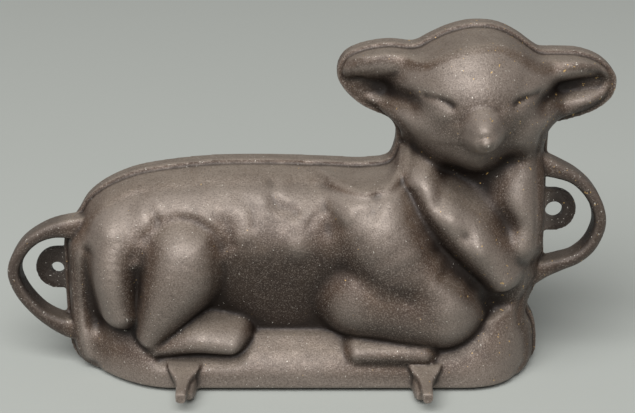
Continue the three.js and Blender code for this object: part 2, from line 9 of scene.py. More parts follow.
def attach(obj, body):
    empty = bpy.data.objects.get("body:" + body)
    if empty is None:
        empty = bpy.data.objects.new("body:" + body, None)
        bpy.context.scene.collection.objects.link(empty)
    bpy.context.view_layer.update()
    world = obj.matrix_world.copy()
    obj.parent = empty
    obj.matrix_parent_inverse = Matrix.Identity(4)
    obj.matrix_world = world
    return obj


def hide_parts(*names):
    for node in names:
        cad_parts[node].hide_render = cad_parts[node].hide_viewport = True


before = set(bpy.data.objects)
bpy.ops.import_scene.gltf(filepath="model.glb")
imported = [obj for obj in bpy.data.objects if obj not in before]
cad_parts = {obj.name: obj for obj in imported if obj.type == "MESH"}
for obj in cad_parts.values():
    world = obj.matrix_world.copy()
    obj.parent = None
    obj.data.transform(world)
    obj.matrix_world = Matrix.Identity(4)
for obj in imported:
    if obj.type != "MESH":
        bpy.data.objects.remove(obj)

bl_info = {
    "name": "Cast-iron lamb mould",
    "version": (1, 0, 0),
    "blender": (4, 5, 0),
    "location": "3D View > Sidebar > Mould",
    "description": "Builds a two-part sand-cast iron cake mould in the shape of a reclining lamb",
    "category": "Add Mesh",
}

MM = 0.001

# Pattern drawing: every outline share below is a share of its length or height
LENGTH = 343 * MM
HEIGHT = 203.5 * MM
MIDDLE_SHARE = 0.0041

# Side of the lamb from the table at its rump, over back, ears and crown, to the table at its chest
SIDE_SHARES = [
    (-0.373, 0.000), (-0.390, 0.012), (-0.402, 0.045), (-0.407, 0.100), (-0.409, 0.200),
    (-0.409, 0.300), (-0.405, 0.392), (-0.383, 0.452), (-0.368, 0.494), (-0.343, 0.530),
    (-0.310, 0.559), (-0.277, 0.577), (-0.180, 0.600), (-0.090, 0.605), (0.010, 0.601),
    (0.095, 0.597), (0.134, 0.611), (0.146, 0.650), (0.148, 0.708), (0.136, 0.743),
    (0.090, 0.782), (0.062, 0.825), (0.051, 0.866), (0.060, 0.905), (0.082, 0.926),
    (0.126, 0.940), (0.171, 0.936), (0.200, 0.960), (0.228, 0.981), (0.262, 0.994),
    (0.300, 0.989), (0.331, 0.965), (0.354, 0.937), (0.370, 0.921), (0.400, 0.919),
    (0.437, 0.915), (0.470, 0.893), (0.490, 0.858), (0.493, 0.838), (0.487, 0.802),
    (0.463, 0.769), (0.423, 0.744), (0.388, 0.728), (0.386, 0.700), (0.385, 0.600),
    (0.386, 0.480), (0.386, 0.380), (0.386, 0.300), (0.377, 0.245), (0.364, 0.178),
    (0.377, 0.125), (0.381, 0.070), (0.379, 0.025), (0.360, 0.000),
]

# Outer edges of the loops from root to root, anticlockwise
LEFT_LOOP_SHARES = [
    (-0.360, 0.462), (-0.400, 0.455), (-0.442, 0.434), (-0.486, 0.380), (-0.508, 0.300),
    (-0.497, 0.228), (-0.458, 0.146), (-0.410, 0.092), (-0.370, 0.080),
]
RIGHT_LOOP_SHARES = [
    (0.350, 0.222), (0.369, 0.246), (0.397, 0.280), (0.424, 0.303), (0.450, 0.323),
    (0.473, 0.357), (0.487, 0.402), (0.492, 0.447), (0.485, 0.500), (0.466, 0.553),
    (0.440, 0.593), (0.412, 0.620), (0.384, 0.643), (0.352, 0.668),
]
LUG_SHARES = [(-0.430, 0.281), (0.410, 0.459)]
LUG_ROOT_SHARE = 0.375
FOOT_SHARES = [-0.208, 0.190]

# Swells: fall at one radius, power of the fall, then x, z, radius and depth of each point of the
# crest
FRONT_SWELLS = [
    # haunch, hip and folded hind foot
    (0.200, 2.6, (-0.204, 0.380, 0.061, 0.740), (-0.209, 0.345, 0.061, 0.760),
     (-0.234, 0.256, 0.047, 0.733), (-0.262, 0.156, 0.029, 0.640)),
    (0.160, 2.2, (-0.316, 0.435, 0.038, 0.560), (-0.320, 0.335, 0.038, 0.633),
     (-0.311, 0.222, 0.035, 0.600)),
    (0.080, 2.2, (-0.250, 0.118, 0.017, 0.613), (-0.186, 0.150, 0.023, 0.673),
     (-0.128, 0.141, 0.020, 0.673)),
    # shoulder, upper arm, knee and shin
    (0.187, 2.2, (0.084, 0.495, 0.058, 0.613), (0.109, 0.464, 0.073, 0.720),
     (0.131, 0.420, 0.073, 0.773), (0.144, 0.371, 0.070, 0.760)),
    (0.133, 2.4, (0.092, 0.265, 0.061, 0.700), (0.127, 0.254, 0.058, 0.720),
     (0.175, 0.237, 0.055, 0.747), (0.215, 0.227, 0.052, 0.760)),
    (0.093, 2.2, (0.161, 0.360, 0.041, 0.720), (0.193, 0.323, 0.041, 0.747),
     (0.219, 0.278, 0.038, 0.760)),
    (0.053, 2.2, (0.079, 0.112, 0.015, 0.647), (0.187, 0.112, 0.016, 0.667)),
    # locks of neck wool
    (0.120, 2.0, (0.183, 0.595, 0.029, 0.613), (0.218, 0.527, 0.035, 0.680),
     (0.255, 0.463, 0.038, 0.713), (0.285, 0.404, 0.035, 0.707), (0.313, 0.337, 0.026, 0.667)),
    (0.080, 2.0, (0.325, 0.599, 0.029, 0.533), (0.338, 0.504, 0.029, 0.553),
     (0.340, 0.424, 0.029, 0.560)),
    # rolled tops of the ears
    (0.093, 2.2, (0.071, 0.880, 0.020, 0.173), (0.103, 0.909, 0.026, 0.240),
     (0.150, 0.906, 0.026, 0.267)),
    (0.093, 2.2, (0.381, 0.873, 0.026, 0.267), (0.426, 0.890, 0.026, 0.240),
     (0.467, 0.869, 0.020, 0.173)),
    # bridge of the muzzle, cheeks, chin and nose
    (0.107, 2.2, (0.258, 0.848, 0.058, 0.707), (0.262, 0.828, 0.058, 0.740),
     (0.266, 0.807, 0.052, 0.780)),
    (0.147, 2.0, (0.207, 0.839, 0.047, 0.573), (0.206, 0.793, 0.050, 0.600),
     (0.219, 0.741, 0.044, 0.607)),
    (0.147, 2.0, (0.333, 0.836, 0.044, 0.547), (0.330, 0.790, 0.047, 0.580),
     (0.316, 0.740, 0.044, 0.620)),
    (0.147, 2.2, (0.262, 0.755, 0.061, 0.733), (0.267, 0.713, 0.052, 0.680)),
    (0.187, 2.2, (0.268, 0.797, 0.026, 0.920), (0.269, 0.784, 0.028, 1.000),
     (0.270, 0.773, 0.028, 1.000)),
]
BACK_SWELLS = [
    # haunch, hip and shoulder
    (0.300, 2.6, (-0.215, 0.360, 0.100, 0.980), (-0.235, 0.250, 0.070, 0.960)),
    (0.280, 2.4, (-0.315, 0.400, 0.040, 0.860), (-0.320, 0.280, 0.036, 0.860)),
    (0.340, 2.6, (0.110, 0.380, 0.088, 0.970), (0.130, 0.270, 0.080, 0.960)),
    # folded hind foot and fore knee
    (0.200, 2.2, (-0.200, 0.150, 0.030, 0.960), (-0.120, 0.145, 0.026, 0.960)),
    (0.220, 2.2, (0.130, 0.150, 0.030, 0.960), (0.220, 0.175, 0.040, 0.980)),
    # nape
    (0.500, 2.4, (0.266, 0.760, 0.090, 0.920), (0.266, 0.680, 0.090, 0.900)),
]

# Domes: x, z, half width, half height, depth
FRONT_DOMES = [(0.263, 0.828, 0.111, 0.166, 0.690)]
BACK_DOMES = [(0.263, 0.828, 0.115, 0.166, 0.970)]

# Small bumps and dimples: x, z, radius, height
FRONT_BUMPS = [
    # wool of the back
    (-0.155, 0.510, 0.017, 0.027), (-0.076, 0.552, 0.017, 0.021), (-0.049, 0.573, 0.017, 0.029),
    (-0.019, 0.429, 0.020, 0.027), (0.005, 0.514, 0.020, 0.027), (-0.093, 0.478, 0.023, 0.020),
    (-0.284, 0.375, 0.009, 0.020), (0.036, 0.552, 0.026, 0.020), (0.068, 0.527, 0.020, 0.020),
    (0.032, 0.478, 0.017, -0.020), (-0.111, 0.552, 0.023, 0.020), (-0.208, 0.525, 0.026, 0.021),
    (-0.256, 0.523, 0.026, 0.016),
    # brows and lower lids
    (0.200, 0.892, 0.023, 0.021), (0.337, 0.903, 0.023, 0.020), (0.206, 0.813, 0.015, 0.024),
    (0.334, 0.816, 0.015, 0.021), (0.195, 0.854, 0.012, 0.013), (0.348, 0.859, 0.012, 0.013),
    # bulges of the neck wool, ledge of the haunch
    (0.191, 0.600, 0.019, 0.043), (0.226, 0.526, 0.019, 0.035), (0.275, 0.433, 0.019, 0.035),
    (0.207, 0.557, 0.012, -0.029), (0.249, 0.474, 0.012, -0.029), (-0.168, 0.451, 0.017, 0.024),
]

# Creases: width, depth as a share of the half's reach, then the points they run through
FRONT_CREASES = [
    # between the locks of neck wool
    (0.017, 0.06, (0.161, 0.570), (0.171, 0.518), (0.197, 0.449), (0.227, 0.381),
     (0.266, 0.311)),
    (0.023, 0.08, (0.233, 0.612), (0.285, 0.543), (0.325, 0.474)),
    (0.012, 0.05, (0.219, 0.358), (0.245, 0.322), (0.272, 0.275), (0.292, 0.233)),
    # tufts of wool on the back, and above the haunch
    (0.013, 0.03, (-0.267, 0.451), (-0.233, 0.488), (-0.196, 0.494), (-0.161, 0.471),
     (-0.142, 0.428)),
    (0.010, 0.02, (-0.153, 0.509), (-0.134, 0.486), (-0.125, 0.439)),
    (0.010, 0.03, (-0.066, 0.581), (-0.055, 0.535), (-0.024, 0.515)),
    (0.010, 0.02, (0.000, 0.492), (0.024, 0.527), (0.057, 0.492), (0.080, 0.527)),
    (0.012, 0.03, (0.105, 0.619), (0.109, 0.573), (0.101, 0.534)),
    (0.010, 0.03, (-0.292, 0.523), (-0.268, 0.537), (-0.249, 0.497)),
    (0.010, 0.02, (-0.117, 0.555), (-0.095, 0.530), (-0.090, 0.489)),
    # tail, and under the hind foot
    (0.017, 0.09, (-0.368, 0.376), (-0.372, 0.281), (-0.370, 0.190), (-0.364, 0.153)),
    (0.010, 0.05, (-0.247, 0.089), (-0.188, 0.098), (-0.125, 0.095), (-0.105, 0.132)),
    # cut-off pouring gate on the nose
    (0.004, 0.02, (0.282, 0.770), (0.279, 0.756), (0.271, 0.750), (0.262, 0.756), (0.259, 0.770),
     (0.262, 0.783), (0.270, 0.788), (0.278, 0.783), (0.282, 0.770)),
    # throat, ears and eyes
    (0.035, 0.15, (0.159, 0.661), (0.191, 0.627), (0.233, 0.604), (0.281, 0.604),
     (0.318, 0.644)),
    (0.019, 0.16, (0.078, 0.838), (0.110, 0.827), (0.136, 0.818), (0.159, 0.818)),
    (0.019, 0.16, (0.378, 0.815), (0.406, 0.824), (0.438, 0.835), (0.464, 0.841)),
    (0.006, 0.04, (0.183, 0.851), (0.202, 0.852), (0.221, 0.841)),
    (0.006, 0.04, (0.322, 0.841), (0.341, 0.849), (0.360, 0.851)),
]
BACK_CREASES = [
    (0.014, 0.12, (-0.370, 0.410), (-0.365, 0.300), (-0.352, 0.179)),
    (0.014, 0.09, (0.020, 0.520), (0.040, 0.400), (0.030, 0.280)),
    (0.012, 0.09, (0.175, 0.600), (0.240, 0.520), (0.300, 0.400)),
]

# How deep each half reaches from the parting face: the falls, depths and heights above are shares
# of it
FRONT_REACH = 75 * MM
BACK_REACH = 50 * MM

# Depth of the lamb's zones in millimetres, and width of their rounded sides as a share of its
# length
TORSO_DEPTH, NECK_DEPTH, EAR_DEPTH = 45, 40, 13.5
TORSO_SIDE, NECK_SIDE, EAR_SIDE = 0.125, 0.085, 0.036
HEAD_MIDDLE = 0.264
# Belly: how much less deep it is than the torso, and the width over which it falls away
BELLY_SHARE, BELLY_SIDE = 0.37, 0.0625
# Radius with which the masses of the lamb run into each other
BLEND = 6 * MM
# Height of the wool's waves
WOOL_HEIGHT = 0.45 * MM
# Shallow groove along the rim: depth, place from the lamb's side, width
GROOVE_DEPTH, GROOVE_PLACE, GROOVE_WIDTH = 1.6 * MM, 6.2 * MM, 1.7 * MM
# Width over which every form comes down to the rim
RIM_SIDE = 0.05
# Rounded lower edge of the base, and the undercut below it
EDGE_ROUND = 4.5 * MM
UNDERCUT, UNDERCUT_TOP, UNDERCUT_BOTTOM = 3 * MM, 2.6 * MM, 1.2 * MM
# Depth that stands for a place outside the lamb
OUTSIDE = -3.6 * MM

# Loops: rounding of the strap, share by which it widens at its roots, and over which length
STRAP_ROUND = 2.6 * MM
FLARE, FLARE_LENGTH = 1.5, 38 * MM

# Feet in millimetres: depth, width at the top, width at the bottom, bottom, top
FOOT_ROWS = [
    (40, 20.0, 9.0, 3.0, 18.0), (48.5, 19.0, 7.0, 3.2, 17.2), (51.5, 16.5, 6.8, 3.6, 16.0),
    (55, 11.5, 6.6, 4.2, 14.8), (59, 8.0, 6.4, 5.2, 13.8), (64, 6.8, 6.2, 6.2, 13.3),
    (75, 6.0, 5.6, 7.0, 12.8),
]
WEB_ROWS = [
    (38, 7.6, 8.6, 0.8, 11.5), (50, 7.4, 8.2, 0.8, 11.0), (58, 6.6, 7.4, 1.2, 10.0),
    (64, 4.6, 5.4, 3.2, 8.6),
]
# Roundings of the edges of gusset and web, and how far the web lies to the inner side
FOOT_ROUND, WEB_ROUND, WEB_SHIFT = 1.3, 2.2, 3.2

# Meshes: steps along the lamb's outline, rings of points inside it, and spacing of the rest
DRAWING_STEP = 2.5 * MM
LOOP_STEP, CREST_STEP, CREASE_STEP = 1.5 * MM, 4 * MM, 3 * MM
BODY_STEP, BODY_RINGS, BODY_GRID = 1.3 * MM, [0.35 * MM, 0.9 * MM, 1.8 * MM, 3.0 * MM], 1.25 * MM
HOLLOW_STEP, HOLLOW_RINGS = 2.4 * MM, [0.8 * MM, 2 * MM]
# How far the parts of a casting reach past the parting face before they are trimmed there
OVERLAP = 1.5 * MM
# How far the hollow reaches to both sides of the parting face
OPENING = 2 * MM
# Depths between which the lugs' holes are cut, past both faces of a lug
HOLE_CUT = (-0.02, 0.03)
# Thinnest place of a casting beside its rim, as a share of the rim
THINNEST = 0.6
# Rounds of smoothing: for the fillets, and for the close surroundings of a vertex
FILLET_ROUNDS, BEND_ROUNDS = 2, 14
# Faces that meet at more than this angle are shaded apart
SHARP_ANGLE = math.radians(38)

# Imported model: depth of the parting face, and half of the hairline between the rims
PARTING = 12.5 * MM
HALF_GAP = 0.15 * MM

# Masks of the iron's finish: the readings between which each one grows, and its share at both
MASKS = {
    # patches of oil film
    "thin film": (0.38, 0.62),
    "thick film": (0.35, 0.75, 0, 0.6),
    # normals: 1 faces up, -1 faces down
    "faces up": (0.5, 1),
    # painted shade, together with old oil, on what faces down
    "faces down": (0.25, -0.3, 0, 0.6),
    "oil and shade thin out facing up": (0.35, 0.85, 1, 0.3),
    # unevenness of the dust and painted top light on what faces up
    "uneven dust": (0.25, 0.75, 0.5, 1),
    # millimetres below the surroundings, over about 20 mm
    # painted highlight on broad crests; painted shade, together with old oil, in broad hollows
    "broad crest": (-0.8, -6, 0, 0.55),
    "broad hollow": (0.7, 6, 0, 0.96),
    "dull hollow": (0.5, 4.5),
    # millimetres above the surroundings, over a few millimetres
    # painted shade in sharp creases, together with old oil
    "sharp hollow": (-0.04, -0.45, 0, 0.8),
    "sharp crest": (0.08, 0.6, 0, 0.4),
    # grains of sand
    "grain top": (0.52, 0.68, 0, 0.65),
    "grain pit": (0.48, 0.32, 0, 0.45),
    "film gloss": (0.3, 0.7),
    # metres in the object's own frame
    "beyond the ends": (0.137, 0.143),
    "below the neck": (0.15, 0.14),
    "beside the face": (0.06, 0.10, 0, 0.05),
    # chips and crumbs
    "chips on crests": (0, 0.6, 0, 0.06),
    "chip": (0.695, 0.715, 0, 0.8),
    "crumb": (0.73, 0.75, 0, 0.8),
}
# Pits of the casting are wider than its grains
PIT_RATIO = 2.3


def X(share):
    return share * LENGTH


def Z(share):
    return share * HEIGHT


def smooth_step(start, end, value):
    t = np.clip((value - start) / (end - start), 0, 1)
    return t * t * (3 - 2 * t)


def smooth_max(a, b, radius):
    h = np.maximum(radius - np.abs(a - b), 0) / radius
    return np.maximum(a, b) + h * h * radius / 4


def spline(points, step):
    """Evenly spaced points along the centripetal curve through the given ones."""
    given = np.array(points, float)
    given = np.vstack([2 * given[0] - given[1], given, 2 * given[-1] - given[-2]])
    gaps = np.sqrt(np.linalg.norm(np.diff(given, axis=0), axis=1))
    dense = []
    cuts = 24
    t = np.linspace(0, 1, cuts, endpoint=False)[:, None]
    for k in range(1, len(given) - 2):
        a, b, c, d = given[k - 1 : k + 3]
        before, here, after = gaps[k - 1 : k + 2]
        start = ((b - a) / before - (c - a) / (before + here) + (c - b) / here) * here
        end = ((c - b) / here - (d - b) / (here + after) + (d - c) / after) * here
        square = (3 * (c - b) - 2 * start - end) * t**2
        cube = (2 * (b - c) + start + end) * t**3
        dense.append(b + start * t + square + cube)
    dense = np.vstack(dense + [given[-2:-1]])
    along = np.concatenate([[0], np.cumsum(np.linalg.norm(np.diff(dense, axis=0), axis=1))])
    count = max(round(along[-1] / step), 1)
    wanted = np.linspace(0, along[-1], count + 1)
    return np.column_stack([np.interp(wanted, along, values) for values in dense.T])


def distance_to_line(x, z, line):
    nearest = np.full(x.shape, np.inf)
    for (ax, az), (bx, bz) in zip(line[:-1], line[1:]):
        dx, dz = bx - ax, bz - az
        t = np.clip(((x - ax) * dx + (z - az) * dz) / (dx * dx + dz * dz), 0, 1)
        np.minimum(nearest, (x - ax - t * dx) ** 2 + (z - az - t * dz) ** 2, out=nearest)
    return np.sqrt(nearest)


def is_inside(x, z, ring):
    inside = np.zeros(x.shape, bool)
    for (ax, az), (bx, bz) in zip(ring, np.roll(ring, -1, axis=0)):
        if az != bz:
            inside ^= ((az > z) != (bz > z)) & (x < (bx - ax) * (z - az) / (bz - az) + ax)
    return inside


def lamb_ring(step):
    """The lamb's side, then the whole outline, clockwise from the table at the rump."""
    side = spline([(X(x), Z(z)) for x, z in SIDE_SHARES], step)
    count = round((side[-1, 0] - side[0, 0]) / step)
    t = np.linspace(0, 1, count + 1)[1:-1, None]
    return side, np.vstack([side, side[-1] + (side[0] - side[-1]) * t])


def inset_ring(ring, inset):
    along = np.roll(ring, -1, axis=0) - np.roll(ring, 1, axis=0)
    along /= np.linalg.norm(along, axis=1)[:, None]
    return ring + np.column_stack([along[:, 1], -along[:, 0]]) * inset


SIDE, RING = lamb_ring(DRAWING_STEP)


def rounded_side(distance, width, depth):
    t = 1 - np.clip(distance / width, 0, 1)
    return depth * np.sqrt(1 - t * t)


def swell(x, z, fall, power, stops, reach):
    """A rounded form whose crest runs through the stops and falls away on both sides."""
    surface = np.full(x.shape, -reach)
    for (x1, z1, r1, d1), (x2, z2, r2, d2) in zip(stops[:-1], stops[1:]):
        dx, dz = x2 - x1, z2 - z1
        t = np.clip(((x - x1) * dx + (z - z1) * dz) / (dx * dx + dz * dz), 0, 1)
        away = np.hypot(x - x1 - t * dx, z - z1 - t * dz) / (r1 + (r2 - r1) * t)
        np.maximum(surface, d1 + (d2 - d1) * t - fall * away**power, out=surface)
    return surface


def dome(x, z, middle_x, middle_z, half_width, half_height, depth):
    """Half of a rounded body, close to an ellipsoid, that rises from the parting face."""
    away = ((x - middle_x) / half_width) ** 2 + ((z - middle_z) / half_height) ** 2
    return depth * np.sqrt(np.maximum(1 - away**1.1, 0))


def base(x, z):
    """D-shaped base: an upright wall and a ledge that slopes back from it, most at the left."""
    depth, wall, ledge_rise, corner = 48 * MM, 17 * MM, Z(0.06), 9 * MM
    left_turn, left_end, right_turn, right_end = -0.222, -0.406, 0.235, 0.390
    left = (x - X(left_turn)) / X(left_end - left_turn)
    right = (x - X(right_turn)) / X(right_end - right_turn)
    end = np.clip(np.maximum(left, right), 0, 1)
    plan = np.where(left > right, 1 - end**2, (1 - end**3) ** 0.9)
    ledge = (z - wall) / (ledge_rise * (1 + 1.6 * end))
    fall = 0.31 + 0.45 * np.clip(left, 0, 1)
    slope = depth * plan * (1 - fall * np.minimum(ledge, 1) - 1.1 * np.maximum(ledge - 1, 0))
    return -smooth_max(-depth * plan, -slope, corner)


def zones(x, z):
    """How much of each point is torso, neck or head, and ear."""
    beside_face = smooth_step(X(0.100), X(0.135), np.abs(x - X(HEAD_MIDDLE)))
    ear = smooth_step(Z(0.70), Z(0.78), z) * np.maximum(
        beside_face, smooth_step(Z(0.74), Z(0.80), z))
    chest = smooth_step(X(0.10), X(0.22), x) * smooth_step(Z(0.40), Z(0.62), z)
    neck = (1 - ear) * (1 - (1 - chest) * (1 - smooth_step(Z(0.60), Z(0.74), z)))
    return np.maximum(1 - ear - neck, 0), neck, ear


def wool(x, z):
    """Hand-modelled wool, which is never quite flat: a broad wave and a finer one."""
    broad = np.sin(z / (8.2 * MM) + 1.4 * np.sin(x / (11 * MM)))
    broad = broad * np.sin(x / (6.6 * MM) + 1.2 * np.sin(z / (9.5 * MM)))
    fine = 0.6 * np.sin(x / (4.1 * MM) + 1.7 * np.sin(z / (5.3 * MM)))
    return broad + fine * np.sin(z / (4.6 * MM) + 0.7)


def relief(x, z, shape):
    """Depth of the lamb's surface from the parting face."""
    low = np.maximum(z, 0)
    from_side = distance_to_line(x, low, SIDE)
    torso, neck, ear = zones(x, low)
    depth = (TORSO_DEPTH * torso + NECK_DEPTH * neck + EAR_DEPTH * ear) * MM
    width = X(TORSO_SIDE * torso + NECK_SIDE * neck + EAR_SIDE * ear)
    surface = rounded_side(from_side, width, depth)
    belly = torso * smooth_step(Z(0.46), Z(0.14), low)
    inwards = smooth_step(0, X(BELLY_SIDE), from_side)
    surface = surface - TORSO_DEPTH * MM * BELLY_SHARE * belly * inwards
    surface = smooth_max(surface, base(x, low), BLEND)
    for row in shape["domes"]:
        surface = smooth_max(surface, dome(x, low, *row), BLEND)
    for fall, power, stops in shape["swells"]:
        form = swell(x, low, fall, power, stops, shape["reach"])
        surface = smooth_max(surface, form, BLEND)
    for bx, bz, radius, height in shape["bumps"]:
        surface = surface + height * np.exp(-((x - bx) ** 2 + (low - bz) ** 2) / radius**2)
    back = smooth_step(Z(0.36), Z(0.46), low)
    surface = surface + WOOL_HEIGHT * wool(x, low) * torso * back
    for width, share, line in shape["creases"]:
        across = distance_to_line(x, low, line) / width
        surface = surface - shape["reach"] * share * np.exp(-(across**2))
    across = (from_side - GROOVE_PLACE) / GROOVE_WIDTH
    surface = surface - GROOVE_DEPTH * np.exp(-(across**2)) * (1 - ear)
    rim = rounded_side(from_side, X(RIM_SIDE), shape["reach"] + BLEND)
    surface = -smooth_max(-surface, -rim, BLEND)
    near = np.clip(1 - low / EDGE_ROUND, 0, 1)
    surface = surface - EDGE_ROUND * (1 - np.sqrt(1 - near * near))
    surface = surface - UNDERCUT * smooth_step(UNDERCUT_TOP, UNDERCUT_BOTTOM, low)
    return np.where(is_inside(x, low, RING), surface, OUTSIDE)


def half_shape(reach, swells, domes, bumps, creases):
    """The tables of a half in metres, with smooth lines through its swells and creases."""
    crests = []
    for fall, power, *stops in swells:
        stops = [(X(x), Z(z), X(radius), reach * depth) for x, z, radius, depth in stops]
        crests.append((reach * fall, power, [tuple(stop) for stop in spline(stops, CREST_STEP)]))
    heads = [(X(x), Z(z), X(wide), Z(high), reach * depth) for x, z, wide, high, depth in domes]
    rises = [(X(x), Z(z), X(radius), reach * height) for x, z, radius, height in bumps]
    lines = []
    for width, share, *stops in creases:
        stops = [(X(x), Z(z)) for x, z in stops]
        lines.append((X(width), share, spline(stops, CREASE_STEP)))
    return {"reach": reach, "swells": crests, "domes": heads, "bumps": rises, "creases": lines}


def cavity(x, z, shape, wall):
    """Inner surface of the casting: the relief worn back by a ball as large as the wall."""
    depths = [relief(x, z, shape) - wall]
    for lean in (math.pi / 4, math.pi / 2):
        across = wall * math.sin(lean)
        for k in range(8):
            turn = k * math.pi / 4
            moved = relief(x + across * math.cos(turn), z + across * math.sin(turn), shape)
            depths.append(moved - wall * math.cos(lean))
    return np.maximum(np.min(depths, axis=0), OPENING)


def new_object(name, points, faces):
    mesh = bpy.data.meshes.new(name)
    mesh.from_pydata([tuple(point) for point in points], [], faces)
    mesh.update()
    obj = bpy.data.objects.new(name, mesh)
    bpy.context.scene.collection.objects.link(obj)
    return obj


def block(name, direction, ring, rings, step, start, depth_at):
    """Closed block over a ring: flat at start, with the depths given on its other side."""
    shells = [inset_ring(ring, inset) for inset in rings]
    low, high = ring.min(axis=0), ring.max(axis=0)
    # Rows of points for nearly equilateral triangles
    row_step = step * 0.866
    xs, zs = np.meshgrid(np.arange(low[0], high[0], step), np.arange(low[1], high[1], row_step))
    xs = xs + (np.arange(len(zs)) % 2)[:, None] * step / 2
    x, z = xs.ravel(), zs.ravel()
    within = is_inside(x, z, ring)
    x, z = x[within], z[within]
    clear = distance_to_line(x, z, np.vstack([ring, ring[:1]])) > rings[-1] + step / 2
    flat = np.vstack([ring] + shells + [np.column_stack([x[clear], z[clear]])])
    count = len(ring)
    edges = [(k, (k + 1) % count) for k in range(count)]
    inside_only, tolerance = 1, 1e-7
    points, _, faces, _, _, _ = geometry.delaunay_2d_cdt(
        [Vector(p) for p in flat], edges, [], inside_only, tolerance)
    points = np.array([tuple(p) for p in points])
    depth = depth_at(points[:, 0], points[:, 1])
    total = len(points)
    top = np.column_stack([points[:, 0], direction * depth, points[:, 1]])
    bottom = np.column_stack([points[:, 0], np.full(total, direction * start), points[:, 1]])
    outward = [tuple(f) for f in faces]
    inward = [tuple(total + k for k in reversed(f)) for f in faces]
    walls = [(total + a, total + b, b, a) for a, b in edges]
    return new_object(name, np.vstack([top, bottom]), outward + inward + walls)


def skin(name, points, n):
    """Closed skin over rings of n points each, which follow one another, with flat ends."""
    faces = []
    for start in range(0, len(points) - n, n):
        for j in range(n):
            a, b = start + j, start + (j + 1) % n
            faces.append((a, a + n, b + n, b))
    faces.append(tuple(range(n)))
    faces.append(tuple(reversed(range(len(points) - n, len(points)))))
    return new_object(name, points, faces)


def tube(name, path, section):
    """A section of (inward, forward) points swept along a path of (x, z) points, with flat ends
    towards which it widens."""
    along = np.gradient(path, axis=0)
    along /= np.linalg.norm(along, axis=1)[:, None]
    inward = np.column_stack([-along[:, 1], along[:, 0]])
    points = []
    roots = [path[0], path[-1]]
    for place, side in zip(path, inward):
        near = max(0.0, 1 - min(math.dist(place, root) for root in roots) / FLARE_LENGTH)
        wide = 1 + FLARE * near**1.5
        for across, forward in section:
            x, z = place + side * across * wide
            points.append((x, -forward, z))
    return skin(name, points, len(section))


def rounded_rectangle(low, high, radius, steps=4):
    """Points round a rectangle whose corners are quarter circles, anticlockwise."""
    points = []
    corners = [(high[0], high[1], 0), (low[0], high[1], 90), (low[0], low[1], 180),
               (high[0], low[1], 270)]
    for x, y, start in corners:
        cx = x - math.copysign(radius, x - (low[0] + high[0]) / 2)
        cy = y - math.copysign(radius, y - (low[1] + high[1]) / 2)
        for k in range(steps + 1):
            angle = math.radians(start + 90 * k / steps)
            points.append((cx + radius * math.cos(angle), cy + radius * math.sin(angle)))
    return points


def loop_handle(name, shares, size):
    path = spline([(X(x), Z(z)) for x, z in shares], LOOP_STEP)
    section = rounded_rectangle((0, 0), (size.strap, size.loop_depth), STRAP_ROUND)
    return tube(name, path, section)


def plate(name, outline, low, high):
    """A flat plate: an outline of (x, z) points between two depths."""
    n = len(outline)
    points = [(x, low, z) for x, z in outline] + [(x, high, z) for x, z in outline]
    faces = [(k, (k + 1) % n, n + (k + 1) % n, n + k) for k in range(n)]
    faces += [tuple(reversed(range(n))), tuple(range(n, 2 * n))]
    return new_object(name, points, faces)


def foot(name, middle):
    """Foot: a flared gusset that narrows to a square peg, with a web on its inner side."""
    inner = -math.copysign(1, middle)
    pieces = []
    web = (WEB_ROWS, inner * WEB_SHIFT, WEB_ROUND)
    for rows, across, radius in ((FOOT_ROWS, 0, FOOT_ROUND), web):
        points = []
        for depth, wide, narrow, bottom, top in rows:
            for x, z in rounded_rectangle((-wide / 2, bottom), (wide / 2, top), radius):
                lean = 1 - (1 - narrow / wide) * (top - z) / (top - bottom)
                points.append((middle + (x * lean + across) * MM, -depth * MM, z * MM))
        pieces.append(skin(name, points, len(points) // len(rows)))
    return pieces


def lug(name, shares, radius, thickness, steps=24):
    x, z = X(shares[0]), Z(shares[1])
    outward = math.copysign(1, x)
    root = outward * X(LUG_ROOT_SHARE)
    turns = np.radians(np.linspace(-90, 90, steps + 1))
    outline = [(x + outward * radius * math.cos(a), z + radius * math.sin(a)) for a in turns]
    outline = [(root, z - radius)] + outline + [(root, z + radius)]
    if outward < 0:
        outline.reverse()
    return plate(name, outline, 0, thickness)


def circle(x, y, radius, steps):
    turns = np.linspace(0, 2 * math.pi, steps, endpoint=False)
    return [(x + radius * math.cos(a), y + radius * math.sin(a)) for a in turns]


def slab(name, low, high):
    corners = [(low[0], low[2]), (high[0], low[2]), (high[0], high[2]), (low[0], high[2])]
    return plate(name, corners, low[1], high[1])


def apply_modifiers(obj):
    graph = bpy.context.evaluated_depsgraph_get()
    mesh = bpy.data.meshes.new_from_object(obj.evaluated_get(graph))
    obj.modifiers.clear()
    old, obj.data = obj.data, mesh
    bpy.data.meshes.remove(old)


def outward_normals(obj):
    """Turns every closed shell of an object so that its normals point out."""
    bm = bmesh.new()
    bm.from_mesh(obj.data)
    bmesh.ops.recalc_face_normals(bm, faces=bm.faces)
    bm.to_mesh(obj.data)
    bm.free()


def join(objects, name):
    bpy.ops.object.select_all(action="DESELECT")
    for obj in objects:
        outward_normals(obj)
        obj.select_set(True)
    bpy.context.view_layer.objects.active = objects[0]
    bpy.ops.object.join()
    objects[0].name = name
    return objects[0]


def fuse(obj, size, smoothing):
    """Casts the parts into one skin, with the small fillets of a sand casting."""
    remesh = obj.modifiers.new("One skin", "REMESH")
    remesh.mode = "VOXEL"
    remesh.voxel_size = size
    soften = obj.modifiers.new("Soft corners", "SMOOTH")
    soften.factor = 0.5
    soften.iterations = smoothing
    apply_modifiers(obj)


def cut(obj, cutter):
    outward_normals(cutter)
    boolean = obj.modifiers.new("Cut", "BOOLEAN")
    boolean.operation = "DIFFERENCE"
    boolean.solver = "MANIFOLD"
    boolean.object = cutter
    apply_modifiers(obj)
    bpy.data.objects.remove(cutter)


